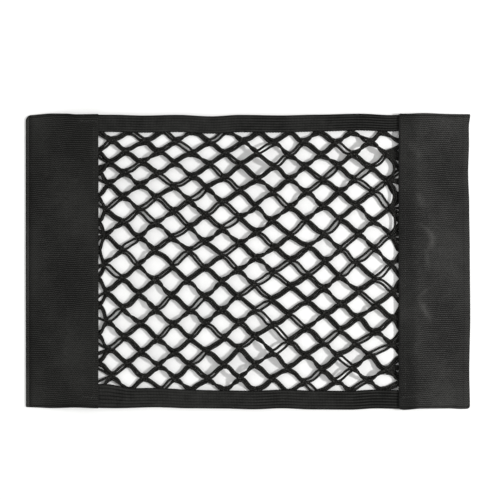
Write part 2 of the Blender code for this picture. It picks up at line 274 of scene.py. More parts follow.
# the two wide bands
webbing = {
    "ply": 1.7, "rise": 1.8, "edgeRound": 0.6, "edgeLeast": 0.06,
    # the grid: places across at the edges, round the groove and on the plain cloth, and rows a rib
    "edgeSteps": (0, 0.2, 0.6, 1.2, 2.2), "grooveSteps": (-0.6, 0, 0.6), "plainFrom": 7, "plainTo": 3.2,
    "across": 34, "perRib": 6,
    # the ribs: how far and over what lengths they sway, and how strong they are from place to place
    "ribPitch": 1.83, "ribHigh": 0.34, "sways": ((0.3, 5.1, 31), (0.2, 2.3, -13)),
    "ribMean": 0.66, "ribStray": 0.34, "patchAcross": 13, "patchStart": 0.7, "patchUp": 21, "patchLean": 40,
    # the lap over the net and the bindings
    "lapFoot": 10.0, "lapHead": 55.0, "overBinding": 4.7, "overNet": 3.1, "stepFrom": 84, "stepLong": 14,
    "corner": {"left_top": 5.0, "left_bottom": 1.4, "right_top": 0.7, "right_bottom": 2.6},
    # how much a crumple's height adds to proud, which paints a highlight on its crest
    "crumpleHighlight": 0.3,
    # the right band's crumples: x, y, half length, half width, height, lean and bulge
    "crumples": (
        (150.5, 21, 14, 3.0, 1.4, -3.5, 10.0), (155.5, 2, 11, 2.6, 1.0, -1.0, 1.0),
        (155.0, -42.5, 12, 3.0, 1.4, -6.2, -1.0), (155.0, -26.5, 6, 2.4, 0.9, 6.0, -1.0),
        (150.0, 54, 8, 3.4, 1.0, -2.0, 0.5), (145.5, 96, 10, 3.8, 0.8, -4.5, 1.0),
        (143.6, 13, 9, 2.6, 0.5, 0.0, 1.0), (146.0, -75, 12, 3.0, 0.4, 2.0, 0.0),
    ),
    # how far in the selvedge and the hems end, and how wide, strong and deep their grooves are
    "selvedge": {"left": 3.4, "right": 5.4}, "grooveWide": 0.55, "grooved": {"left": 0.8, "right": 0.25},
    "hem": 2.0, "hemWide": 0.5, "hemGrooved": 0.6, "grooveDeep": 0.45, "grooveCalm": 0.7,
    # the outline: how far up, down and out each edge lies, place by place
    "left": {
        "top": ((-195, 128.2), (-172, 129.7), (-160, 129.5), (-149, 128.7), (-130, 128.9)),
        "bottom": ((-195, 127.9), (-172, 128.6), (-149, 127.8), (-130, 128.4)),
        "side": ((-130, -194.8), (0, -195.0), (130, -195.0)),
    },
    "right": {
        "top": ((132, 129.3), (140, 129.2), (155, 129.8), (180, 129.3), (195, 129.2)),
        "bottom": ((132, 129.2), (136, 129.8), (151, 128.8), (176, 129.0), (187, 129.5), (195, 129.3)),
        "side": (
            (-130, 194.7), (-98, 194.2), (-48, 195.0), (10, 194.6), (50, 194.1), (78, 193.2),
            (105, 193.9), (119, 193.8), (130, 195.0),
        ),
    },
    # the right band's dark and pale are paler than the left's: painted light, as the lamp stands at the
    # right
    "dark": {"left": (0.0052, 0.0052, 0.0048), "right": (0.0080, 0.0080, 0.0076)},
    "pale": {"left": (0.0425, 0.0425, 0.0400), "right": (0.0640, 0.0634, 0.0606)},
    "mottleSize": 11.0, "lintSize": 0.8, "warpAcross": 2.1, "warpUp": 2.6,
    # where the selvedge's pale strip begins, where it ends before the groove, where the deep lap begins
    "paleFrom": (0.8, 1.6), "paleTo": (-0.7, -0.2), "deepFrom": {"left": 80, "right": 44}, "deepLong": 8,
    # where crests get a painted highlight, by how proud they stand and by the lint noise
    "crestProud": (1.0, 1.35), "crestLint": (0.4, 0.62),
    # how much paler each makes the cloth: the rib share paints shade between the ribs and a highlight on
    # them, the crest share a highlight on the crumples' crests
    "lighten": {
        "base": -0.9, "rib": 0.76, "mottle": 0.32, "lint": 0.95, "warp": 0.2, "deep": -0.17, "crestHighlight": 0.38,
    },
    "edgePale": {"left": 0.3, "right": 0.06},
    "relief": {"rib": 0.4, "lint": 0.6, "deep": 0.12},
}


def lapHeight(inward, y):
    # 0, then up a ramp to overBinding near the ends and overNet between them
    overNet = 1 - smooth((np.abs(y) - webbing["stepFrom"]) / webbing["stepLong"])
    full = webbing["overBinding"] + (webbing["overNet"] - webbing["overBinding"]) * overNet
    return full * smooth((inward - webbing["lapFoot"]) / (webbing["lapHead"] - webbing["lapFoot"]))


def crumpleHeight(x, y):
    # each high (1 - v^2) bell(u), its middle line lean v + bulge (1 - v^2)
    height = np.zeros_like(x)
    for middleX, middleY, long, wide, high, lean, bulge in webbing["crumples"]:
        v = np.clip((y - middleY) / long, -1, 1)
        line = middleX + lean * v + bulge * (1 - v**2)
        height = height + high * (1 - v**2) * bell(x, line, wide)
    return height


def crossRibs(x, y):
    # (1 + sin) / 2 across the band, swaying a little and stronger in some places than others
    swayed = y
    for far, acrossLong, upLong in webbing["sways"]:
        swayed = swayed + far * np.sin(x / acrossLong + y / upLong)
    patches = np.sin(x / webbing["patchAcross"] + webbing["patchStart"])
    patches = patches * np.sin(y / webbing["patchUp"] + x / webbing["patchLean"])
    strong = webbing["ribMean"] + webbing["ribStray"] * patches
    return 1 - strong * (0.5 - 0.5 * np.sin(2 * np.pi * swayed / webbing["ribPitch"]))


def bandSize(side):
    # its width and height, as its solid's
    low, high = solid[side + "_band"]
    return high[0] - low[0], high[1] - low[1]


def bandPlace(side, inward, share):
    # the point at inward from the outer edge and share (-1 to 1) of the height
    edges = webbing[side]
    outer = halfLong * (-1 if side == "left" else 1)
    x = outer * (1 - inward / halfLong)
    long = np.where(share > 0, wave(edges["top"], x), wave(edges["bottom"], x))
    radius = np.where(share > 0, webbing["corner"][side + "_top"], webbing["corner"][side + "_bottom"])
    long = long - radius + np.sqrt(radius**2 - np.clip(radius - inward, 0, None) ** 2)
    slack = wave(edges["side"], share * solid["top_binding"][1][1]) - outer
    return x + slack * (1 - smooth(inward / bandSize(side)[0])), share * long


def bandTop(side, inward, share):
    # x, y, middle height, half the thickness, how far the face is sunk, and how proud it is, 0 to 1
    width, height = bandSize(side)
    x, y = bandPlace(side, inward, share)
    fromEnd = (1 - np.abs(share)) * height / 2
    groove = np.maximum(
        webbing["grooved"][side] * bell(inward, webbing["selvedge"][side], webbing["grooveWide"]),
        webbing["hemGrooved"] * bell(fromEnd, webbing["hem"], webbing["hemWide"]),
    )
    proud = crossRibs(x, y) * (1 - webbing["grooveCalm"] * groove)
    near = np.minimum(np.minimum(inward, width - inward), fromEnd) / webbing["edgeRound"]
    plump = np.sqrt(1 - (1 - np.clip(near, webbing["edgeLeast"], 1)) ** 2)
    middle = lapHeight(inward, y) + webbing["rise"] / 2
    if side == "right":
        crumple = crumpleHeight(x, y)
        # crumples raise proud, so their crests get a painted highlight
        proud = proud + webbing["crumpleHighlight"] * crumple
        middle = middle + crumple
    half = webbing["ply"] / 2 * plump
    sunk = (webbing["ribHigh"] * (1 - proud) + webbing["grooveDeep"] * groove) * plump
    return x, y, middle, half, sunk, proud


def addBand(side, material):
    # one ply on a grid: a closed section across it, carried from end to end over its ribs
    width, height = bandSize(side)
    edge = np.array(webbing["edgeSteps"])
    selvedge = webbing["selvedge"][side] + np.array(webbing["grooveSteps"])
    plain = np.linspace(webbing["plainFrom"], width - webbing["plainTo"], webbing["across"])
    inward = np.concatenate([edge, selvedge, plain, width - edge[::-1]])
    share = np.linspace(-1, 1, int(height / webbing["ribPitch"]) * webbing["perRib"] + 1)
    x, y, middle, half, sunk, proud = bandTop(side, *np.meshgrid(inward, share))
    top = np.stack([x, y, middle + half - sunk], -1)
    under = np.stack([x, y, middle - half], -1)[:, ::-1]
    rings = np.concatenate([top, under], 1)
    around = rings.shape[1]
    faces = tubeFaces(np.arange(len(share))[None], around)
    strip = np.arange(len(inward) - 1)
    first = np.stack([strip, strip + 1, around - 2 - strip, around - 1 - strip], -1)
    caps = np.concatenate([first, first[:, ::-1] + (len(share) - 1) * around])
    if side == "right":
        faces, caps = faces[:, ::-1], caps[:, ::-1]
    inwards = np.broadcast_to(np.concatenate([inward, inward[::-1]]), rings.shape[:2])
    stands = np.concatenate([proud, proud[:, ::-1]], 1)
    cloth = np.stack([inwards, stands], -1).reshape(-1, 2)[faces].reshape(-1, 2)
    piece = addPiece(side + "Webbing", rings, faces, caps, cloth, material)
    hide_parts(side + "_band")
    return piece


# the seams: lines of short stitches down the laps, zigzag tacks near the ends, and a dark bound edge whose
# black also stands in for shade under the right band's raised edge
seams = {
    "in": {"left": 60.4, "right": 57.6}, "reach": 118, "stitch": 2.3, "gap": 0.9, "thread": 0.22,
    "stitchSteps": 6, "sway": 0.15, "swayLong": 7, "arch": 0.5, "archFoot": 0.3,
    # side, how far in it starts and ends, how far up it is, zig and zag
    "tacks": (
        ("left", 47.0, 62.5, 123.2, 0.9), ("left", 50.0, 62.5, -119.5, 0.9),
        ("right", 46.0, 60.5, -118.5, 0.8),
    ),
    "tackPitch": 2.1, "tackSteps": 8, "tackLift": 0.08,
    # the bound edge: how far up and down it goes, how far past the band it lies, and its slow wave
    "boundReach": 128.6, "boundHalf": 129.7, "boundSteps": 900,
    "boundOut": 0.3, "boundWave": 0.05, "boundLong": 3,
    "edgePitch": 2.5, "edgeThread": 0.5, "edgeRadius": 0.55, "core": 0.8, "coreAround": 8, "coreEvery": 4,
}


def onBand(side, inward, y, lift):
    # points on the face of a band
    height = bandSize(side)[1]
    share = y / (height / 2)
    x, placedY, middle, half = bandTop(side, inward, share)[:4]
    return np.stack([x, placedY, middle + half - webbing["ribHigh"] / 2 + lift], -1)


def addSeams(side, material):
    # a row of stitches down the lap, each a low arch, and the tacks, each a zigzag
    pitch = seams["stitch"] + seams["gap"]
    start = np.arange(-seams["reach"], seams["reach"], pitch)[:, None]
    t = np.linspace(0, 1, seams["stitchSteps"])
    y = start + seams["stitch"] * t
    inward = np.full_like(y, seams["in"][side]) + seams["sway"] * np.sin(y / seams["swayLong"])
    arch = seams["arch"] * np.sin(np.pi * t) - seams["archFoot"]
    lines = onBand(side, inward, y, 0) + np.array([0, 0, 1]) * arch[:, None]
    pieces = [addThreads(side + "LapStitches", lines, seams["thread"], material)]
    for number, (tackSide, begin, end, up, zig) in enumerate(seams["tacks"]):
        if tackSide == side:
            steps = int((end - begin) / seams["tackPitch"]) * seams["tackSteps"]
            inward = np.linspace(begin, end, steps + 1)
            y = up + zig * 2 / np.pi * np.arcsin(np.sin(2 * np.pi * inward / seams["tackPitch"]))
            lines = onBand(side, inward, y, seams["tackLift"])[None]
            pieces.append(addThreads(f"{side}Tack{number}", lines, seams["thread"], material))
    return pieces


def addBoundEdgeAndShade(material):
    # the right band's inner edge is overcast: a thread wound round a cord that runs down it; their black
    # also stands in for the shade under that raised edge
    width = bandSize("right")[0]
    y = np.linspace(-seams["boundReach"], seams["boundReach"], seams["boundSteps"])
    inward = np.full_like(y, width + seams["boundOut"])
    x = bandPlace("right", inward, y / seams["boundHalf"])[0]
    z = lapHeight(inward, y) + webbing["rise"] / 2 + seams["boundWave"] * np.sin(y / seams["boundLong"])
    line = np.stack([x, y, z], -1)
    plain = line[None, :: seams["coreEvery"]]
    core = addThreads("boundEdgeAndShadeCore", plain, seams["core"], material, seams["coreAround"])
    wound = helix(line, seams["edgeRadius"], seams["edgePitch"])
    return [core, addThreads("boundEdgeAndShade", wound, seams["edgeThread"], material)]


def webbingFinish(side):
    # painted shade between the ribs and a painted highlight on them, with flecks of lint, a slow mottle, a
    # pale selvedge and painted highlights on the crumples' crests
    finish = Finish(side + "Webbing", roughness=0.9, specular=0.06)
    place = finish.place()
    inward, proud = finish.split(finish.cloth())[:2]
    x, y = finish.split(place)[:2]
    mottle = finish.noise(place, webbing["mottleSize"], detail=3.0)
    lint = finish.noise(place, webbing["lintSize"], detail=1.0)
    warp = x.wave(webbing["warpAcross"]) * y.wave(webbing["warpUp"])
    end, faded = (webbing["selvedge"][side] + past for past in webbing["paleTo"])
    edge = inward.ramp(*webbing["paleFrom"]) * (1 - inward.ramp(end, faded))
    deep = inward.ramp(webbing["deepFrom"][side], webbing["deepFrom"][side] + webbing["deepLong"])
    # a painted highlight on the crumples' crests, broken up by the lint noise
    crestHighlight = proud.ramp(*webbing["crestProud"]) * lint.ramp(*webbing["crestLint"])
    more = webbing["lighten"]
    # proud paints shade between the ribs and a highlight on their backs
    share = proud * more["rib"] + mottle * more["mottle"] + lint * more["lint"] + warp * more["warp"]
    share = share + more["base"] + edge * webbing["edgePale"][side]
    share = share + deep * more["deep"] + crestHighlight * more["crestHighlight"]
    relief = webbing["relief"]
    # each side's own dark and pale; the right band's are paler, as painted light from the lamp at the right
    colour = finish.mix(share, webbing["dark"][side], webbing["pale"][side])
    return finish.paint(colour, proud * relief["rib"] + lint * relief["lint"], relief["deep"])


threads = {
    "black": ((0.003, 0.003, 0.003), (0.012, 0.012, 0.011)),
    "grey": ((0.014, 0.014, 0.013), (0.055, 0.055, 0.052)),
    "lintSize": 0.9, "lintFrom": (0.4, 0.7), "lintDeep": 0.05,
}


def threadFinish(name):
    # matt thread, a little paler in places
    finish = Finish(name + "Thread", roughness=0.8, specular=0.15)
    lint = finish.noise(finish.place(), threads["lintSize"], detail=1.0)
    dark, pale = threads[name]
    return finish.paint(finish.mix(lint.ramp(*threads["lintFrom"]), dark, pale), lint, threads["lintDeep"])


# the two folded bindings
tape = {
    "ply": 0.9, "slot": 2.6, "foldRound": 0.9, "foldSteps": 5, "foldWall": 2.4,
    "endX": 142.5, "wide": 14.8, "step": 0.5,
    "ribs": 6, "perRib": 5, "ribDeep": 0.55, "ribPower": 0.8, "underDeep": 0.5,
    "knit": 2.5, "knitDeep": 0.08, "knitLean": 3.0,
    # the open edge: its small bulges, from which share of the width, and the thread wound along it
    "beads": 0.22, "beadFrom": 0.8, "beadLong": 0.2,
    "edgeThread": 0.42, "edgeAround": 5, "edgeRadius": 0.5, "edgePitch": 2.5,
    "edgeReach": 131.5, "edgeSteps": 1300, "edgeOut": 0.35, "edgeSunk": 0.75,
    # where the ribs stand out: x, reach, by how much
    "strong": ((110, 34, 0.6), (18, 26, 0.3), (-100, 22, 0.15)), "faint": 0.4,
    # how far out the fold lies and how much wider than wide the tape is there, place by place
    "top": {
        "edge": (
            (-143, 128.7), (-118, 128.5), (-90, 127.8), (-62, 128.4), (-31, 127.1), (-6, 128.4),
            (30, 127.9), (62, 128.6), (98, 129.4), (126, 128.2), (143, 128.8),
        ),
        "extra": ((-143, 0.2), (-90, 0.0), (0, 0.2), (60, -0.2), (98, -0.4), (122, -0.6), (143, -1.4)),
    },
    "bottom": {
        "edge": (
            (-143, 128.2), (-115, 128.6), (-80, 127.8), (-50, 128.7), (-20, 128.9), (5, 129.6),
            (30, 128.7), (58, 129.7), (90, 129.9), (112, 128.8), (143, 129.4),
        ),
        "extra": ((-143, 5.8), (-125, 6.0), (-98, 2.0), (-20, 0.8), (5, 1.2), (60, 1.4), (143, 1.4)),
    },
    "dark": (0.0032, 0.0032, 0.0030), "pale": (0.0400, 0.0400, 0.0380), "mottleSize": 8.0, "lintSize": 0.7,
    # how much paler each makes the tape: the rib share paints a highlight on the ribs' backs and shade
    # between them, the fold share paints shade along the folded edge
    "lighten": {"base": -1.22, "rib": 1.1, "mottle": 0.5, "lint": 0.8, "fold": -0.4}, "foldShadeWide": 0.1,
    "relief": {"rib": 0.5, "lint": 0.5, "deep": 0.12},
}


def bindingEdges(side, x):
    # how far the folded edge and the open edge are from the middle line
    outer = wave(tape[side]["edge"], x)
    return outer, outer - tape["wide"] - wave(tape[side]["extra"], x)


def ribDepth(share, x):
    # how deep the face lies below its ribs, which stand out more in some places
    strong = tape["faint"] + sum(much * bell(x, middle, reach) for middle, reach, much in tape["strong"])
    rib = np.abs(np.sin(np.pi * tape["ribs"] * share)) ** tape["ribPower"]
    knit = 0.5 + 0.5 * np.sin(2 * np.pi * x / tape["knit"] + tape["knitLean"] * share)
    return np.clip(strong, 0, 1) * tape["ribDeep"] * (1 - rib) + tape["knitDeep"] * knit * rib


def addBinding(side, material, edging):
    # the folded section (share of the width from the fold, height) carried along the net's edge
    thick, low, high = 2 * tape["ply"] + tape["slot"], tape["ply"], tape["ply"] + tape["slot"]
    fold, seat = tape["foldRound"] / tape["wide"], tape["foldWall"] / tape["wide"]
    x = np.linspace(-tape["endX"], tape["endX"], int(2 * tape["endX"] / tape["step"]) + 1)[:, None]
    face = np.linspace(fold, 1, tape["perRib"] * tape["ribs"] + 1)
    depth = ribDepth((face - fold) / (1 - fold), x)
    turn = np.radians(np.linspace(90, 0, tape["foldSteps"]))[:-1]
    bendIn = fold * (1 - np.cos(turn))
    bend = np.stack([bendIn, thick - tape["foldRound"] * (1 - np.sin(turn))], -1)
    foot = bend[::-1] * [1, -1] + [0, thick]
    under = np.stack([face[::-1], np.zeros_like(face)], -1)
    over = np.stack([face, np.full_like(face, thick)], -1)
    slot = np.array([(1.0, high), (seat, high), (seat, low), (1.0, low)])
    section = np.concatenate([under, foot, bend, over, slot])
    sunk = np.zeros((len(x), len(section)))
    begin = len(face) + len(foot) + len(bend)
    sunk[:, begin : begin + len(face)] = depth
    sunk[:, : len(face)] = -tape["underDeep"] * depth[:, ::-1]
    outer, inner = bindingEdges(side, x)
    beads = tape["beads"] * np.sin(2 * np.pi * x / tape["edgePitch"])
    beads = beads * smooth((section[:, 0] - tape["beadFrom"]) / tape["beadLong"])
    sign = 1 if side == "top" else -1
    y = sign * (outer + (inner - outer) * section[:, 0] + beads)
    rings = np.stack([np.broadcast_to(x, y.shape), y, section[:, 1] - sunk], -1)
    ring = np.arange(len(section))
    faces = tubeFaces(np.arange(len(x))[None], len(section))
    caps = np.array([ring[::-1], ring + (len(x) - 1) * len(section)])
    if side == "bottom":
        faces, caps = faces[:, ::-1], caps[:, ::-1]
    proud = 1 - sunk / (tape["ribDeep"] + tape["knitDeep"])
    shares = np.broadcast_to(section[:, 0], proud.shape)
    cloth = np.stack([shares, proud], -1).reshape(-1, 2)[faces].reshape(-1, 2)
    piece = addPiece(side + "Binding", rings, faces, caps, cloth, material)
    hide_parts(side + "_binding")
    fine = np.linspace(-tape["edgeReach"], tape["edgeReach"], tape["edgeSteps"])
    up = sign * (bindingEdges(side, fine)[1] + tape["edgeOut"])
    line = np.stack([fine, up, np.full_like(fine, thick - tape["edgeSunk"])], -1)
    wound = helix(line, tape["edgeRadius"], tape["edgePitch"])
    thin, around = tape["edgeThread"], tape["edgeAround"]
    thread = addThreads(side + "Edging", wound, thin, edging, around)


def tapeFinish():
    # elastic ribs, with a painted highlight on their backs and painted shade between them, specks of rubber,
    # and painted shade along the fold
    finish = Finish("elasticTape", roughness=0.9, specular=0.06)
    place = finish.place()
    share, proud = finish.split(finish.cloth())[:2]
    mottle = finish.noise(place, tape["mottleSize"], detail=3.0)
    lint = finish.noise(place, tape["lintSize"], detail=1.0)
    # painted shade along the folded edge
    fold = 1 - share.ramp(0.0, tape["foldShadeWide"])
    more, relief = tape["lighten"], tape["relief"]
    mixed = proud * more["rib"] + mottle * more["mottle"] + lint * more["lint"]
    mixed = mixed + more["base"] + fold * more["fold"]
    colour = finish.mix(mixed, tape["dark"], tape["pale"])
    return finish.paint(colour, proud * relief["rib"] + lint * relief["lint"], relief["deep"])


# the twin-cord net; a leg is the stretch from one joint to the next
net = {
    "columnStep": 14.53, "rowStep": 11.37, "columns": (-1, 18), "rows": (0, 20),
    "firstX": -123.8, "firstY": 114.0, "sideX": {-1: -130.6, 18: 134.8}, "fieldY": 113.7,
    "endX": 141.5, "endY": 121.5, "shortest": 0.12, "seed": 2472,
    "stray": 0.6, "strayMost": 1.6, "edgeStray": 0.35, "edgeFade": 3,
    # axis, amount, power of u, power of v, whether it dies out at the bindings
    "drift": (
        ("y", 3.4, 0, 0, True), ("y", -6.8, 1, 0, True), ("y", 6.9, 0, 1, True),
        ("x", -6.6, 1, 0, False), ("x", 8.3, 1, 0, True),
    ),
    # axis, x, y, radius, amount
    "crowds": (
        ("y", -90, 42, 28, 2.1), ("y", 30, 30, 34, -2.8), ("y", 94, 52, 34, 3.2), ("y", -46, -6, 26, 2.4),
        ("y", -88, -66, 28, -2.4), ("y", 2, -66, 32, 4.0), ("y", 52, -100, 28, -3.6),
        ("x", -32, -26, 50, -1.8), ("x", 60, -26, 40, 1.4), ("x", 0, 106, 40, 2.2), ("x", 128, -36, 30, 3.0),
    ),
    # x, y, radius along x, radius along y, height
    "puckers": (
        (10, 90, 24, 28, 7.6), (104, 98, 24, 20, 7.4), (-12, -100, 30, 20, 7.8), (56, 106, 16, 12, 5.0),
        (22, -74, 22, 28, 6.8), (88, -98, 24, 20, 7.4), (116, -24, 12, 60, 4.4), (-112, -22, 14, 30, 2.0),
        (122, -104, 16, 18, 7.4),
    ),
    "puckerFoot": 0.12, "entryLevel": 3, "entryRise": 12, "inSlot": 1.2, "hungFrom": 2,
    # the cord's radius, and how thick the net is in the field, in the bindings and under the bands
    "cord": 1.22, "around": 8, "stack": 4.2, "slotStack": 1.9, "lapStack": 2.4,
    # a joint's four crossings: how far off its middle, how long a cord takes over one, and how high
    "cross": {"up": 2.2, "side": 0.35}, "turn": 0.08, "weave": 0.9, "weaveFade": 0.26, "jointLean": 0.6,
    "pair": {1: ("risingUpper", "risingLower"), -1: ("fallingUpper", "fallingLower")},
    # where along a leg its rings are, and how long a leg counts in the map
    "t": (0, 0.035, 0.08, 0.15, 0.25, 0.37, 0.5, 0.63, 0.75, 0.85, 0.92, 0.965, 1), "legLong": 19.0,
    # for legs that rise and fall to the right: their S, their bow to the left; and how far each strays
    "bend": {1: 0.14, -1: 0.26}, "bow": {1: -0.6, -1: 0.39}, "bendStray": 0.16, "bowStray": 0.52,
    "wobble": 0.16, "wobbleWaves": 1.4,
    # the share of legs with parted cords towards the left, in the middle and towards the right
    "parted": {1: (0.36, 0.22, 0.6), -1: (0.22, 0.16, 0.36)}, "partedFrom": 70, "partedLong": 45,
    # least, how much more by chance, and the chance's power: how far apart a leg's two cords lie, how
    # much thicker they are in the middle, and over how much of the leg they come from the first joint
    "apart": {"closed": (1.4, 1.3, 0.8), "parted": (2.9, 1.8, 3)},
    "swell": {"closed": (-0.07, 0.14, 1), "parted": (-0.17, 0.08, 1)},
    "reach": {"closed": (0.24, 0.2, 1), "parted": (0.14, 0.3, 1)},
    "bothReaches": {"closed": 0.68, "parted": 0.58},
    # the share of closed legs that twist, how far cords rise between joints, how many radii apart they
    # touch, and the least of apart in a crowded leg
    "twisted": 0.4, "lift": 0.2, "touching": 1.85, "crowded": 0.3,
    "dark": (0.0016, 0.0016, 0.0015), "pale": (0.083, 0.082, 0.077),
    # the knitted cover: stitches round it, their pitch, where they cross, and flecks of lint
    "knitAround": 4, "knitPitch": 3.4, "knitCross": (0.15, 0.85), "fleckSize": 1.3, "fleckFrom": (0.45, 0.7),
    # a painted highlight along each cord's top, from where it begins, and how much paler the top, the
    # crossings and the flecks make it; then the bump's depth
    "highlightFrom": (0.2, 1.0), "lighten": {"core": 0.1, "cross": 0.26, "fleck": 1.35}, "reliefDeep": 0.2,
}

# the way each strand comes into a joint and goes out of it, its heights there, its way and its twin
strands = {
    "risingUpper": ("west", "north", 1, -1, 1, "risingLower"),
    "risingLower": ("south", "east", -1, 1, 1, "risingUpper"),
    "fallingUpper": ("north", "east", 1, -1, -1, "fallingLower"),
    "fallingLower": ("west", "south", -1, 1, -1, "fallingUpper"),
}
sides = {
    "north": np.array([0, net["cross"]["up"]]), "south": np.array([0, -net["cross"]["up"]]),
    "east": np.array([net["cross"]["side"], 0]), "west": np.array([-net["cross"]["side"], 0]),
}


def jointPlaces():
    # the lattice from one ring outside its cut edge, drifted, crowded and strayed
    chance = np.random.default_rng(net["seed"])
    columns = np.arange(net["columns"][0] - 1, net["columns"][1] + 2)
    rows = np.arange(net["rows"][0] - 1, net["rows"][1] + 2)
    column, row = np.meshgrid(columns, rows, indexing="ij")
    stray = np.clip(chance.normal(0, net["stray"], (*column.shape, 2)), -net["strayMost"], net["strayMost"])
    x = net["firstX"] + column * net["columnStep"]
    y = net["firstY"] - row * net["rowStep"]
    u, v = x / fieldX, y / net["fieldY"]
    fade = np.clip(1 - v * v, 0, None)
    move = {"x": 0.0, "y": 0.0}
    for axis, amount, powerU, powerV, fades in net["drift"]:
        move[axis] = move[axis] + amount * u**powerU * v**powerV * (fade if fades else 1)
    for axis, centreX, centreY, radius, amount in net["crowds"]:
        move[axis] = move[axis] + amount * np.exp(-((x - centreX) ** 2 + (y - centreY) ** 2) / radius**2)
    across = x + move["x"]
    for end, edge in net["sideX"].items():
        across = np.where(column == end, edge, across)
    slack = net["edgeStray"] + (1 - net["edgeStray"]) * np.clip(fade * net["edgeFade"], None, 1)
    return column, row, across + stray[..., 0], y + move["y"] + stray[..., 1] * slack


def intoBinding(x, y):
    # 0 in the field, 1 a little before the net enters a binding
    mouth = np.where(y > 0, bindingEdges("top", x)[1], bindingEdges("bottom", x)[1])
    return smooth(1 - (mouth - net["entryLevel"] - np.abs(y)) / net["entryRise"])


def underNet(x, y):
    # the highest pucker, and elsewhere as high as in the bindings' slots, from which the net hangs
    edge = intoBinding(x, y)
    free = (1 - edge**3) * smooth((fieldX - net["entryLevel"] - np.abs(x)) / (net["entryRise"] / 2))
    height = np.zeros_like(x)
    for centreX, centreY, radiusX, radiusY, rise in net["puckers"]:
        far = ((x - centreX) / radiusX) ** 2 + ((y - centreY) / radiusY) ** 2
        height = np.maximum(height, rise * (np.exp(-far) - net["puckerFoot"]))
    field = smooth((fieldX - net["hungFrom"] - np.abs(x)) / net["entryRise"])
    return np.maximum(height * free, net["inSlot"] * np.maximum(edge, field))


def squeeze(x, y):
    # how much of its free height the net keeps: less under the bands, least in the bindings
    field = smooth((fieldX - np.abs(x)) / net["entryRise"])
    high = net["lapStack"] + (net["stack"] - net["lapStack"]) * field
    high = high + (net["slotStack"] - high) * intoBinding(x, y)
    return high / net["stack"]


def netLegs(way):
    # every leg of one way runs right from joint to joint; a row is its two joints and its two ends
    column, row, x, y = jointPlaces()
    a = np.s_[:-1, 1:] if way > 0 else np.s_[:-1, :-1]
    b = np.s_[1:, :-1] if way > 0 else np.s_[1:, 1:]
    number = np.arange(column.size).reshape(column.shape)
    odd = (column + row) % 2 == 1
    inner = (column >= net["columns"][0]) & (column <= net["columns"][1])
    inner &= (row >= net["rows"][0]) & (row <= net["rows"][1])
    keep = odd[a] & (inner[a] | inner[b])
    return [v[keep] for v in (number[a], number[b], inner[a], inner[b], x[a], y[a], x[b], y[b])]


def cutShare(x, y, toX, toY):
    # how far along from an inner joint (x, y) a leg meets the net's cut edge
    tiny = 1e-6
    shareX = (net["endX"] - np.abs(x)) / np.maximum(np.abs(toX) - np.abs(x), tiny)
    shareY = (net["endY"] - np.abs(y)) / np.maximum(np.abs(toY) - np.abs(y), tiny)
    shareX = np.where(np.abs(toX) > net["endX"], shareX, 1)
    shareY = np.where(np.abs(toY) > net["endY"], shareY, 1)
    return np.clip(np.minimum(shareX, shareY), net["shortest"], 1)


def crossing(came, going, t):
    # the way off a joint's middle, t along a leg: from halfway between the two points to the second
    turned = np.sin(np.pi / 2 * np.clip(t / net["turn"], 0, 1))[..., None]
    return sides[going] + (sides[came] - sides[going]) * (1 - turned) / 2


def weaving(sign, t):
    # the height off a joint's middle: up or down over the turn, then back again
    faded = 1 - smooth((t - net["turn"]) / net["weaveFade"])
    return sign * np.sin(np.pi / 2 * np.clip(t / net["turn"], 0, 1)) * faded


def byState(setting, parted, draw):
    # least + more draw ^ power, with the closed or the parted row of a setting
    rows = [np.array(net[setting][state])[:, None] for state in ("parted", "closed")]
    least, more, power = np.where(parted, *rows)
    return least + more * draw**power


def partedShare(way, x):
    # the share of a way's legs that are parted at x, the same over the middle of the net
    left, centre, right = net["parted"][way]
    outward = smooth((np.abs(x) - net["partedFrom"]) / net["partedLong"]) * np.sign(x)
    return centre + (left - centre) * np.clip(-outward, 0, 1) + (right - centre) * np.clip(outward, 0, 1)


def jointRings(x, y):
    # for each strand, a ring in the middle of every joint, which its cords on both sides share
    flat = squeeze(x, y)
    height = underNet(x, y) + flat * (net["cord"] + net["weave"])
    rings = []
    for came, going, _, last, way, _ in strands.values():
        middle = np.stack([x, y], -1) + (sides[came] + sides[going]) / 2
        turn = (sides[going] - sides[came]) * np.pi / 4 / net["turn"]
        rise = net["weave"] * last * np.pi / 2 / net["turn"] * net["jointLean"]
        tangent = np.array([net["columnStep"] + turn[0], way * net["rowStep"] + turn[1], rise])
        centre = np.concatenate([middle, height[:, None]], -1)
        rings.append(tubeRings(centre, tangent, net["cord"], net["around"], flat))
    return rings


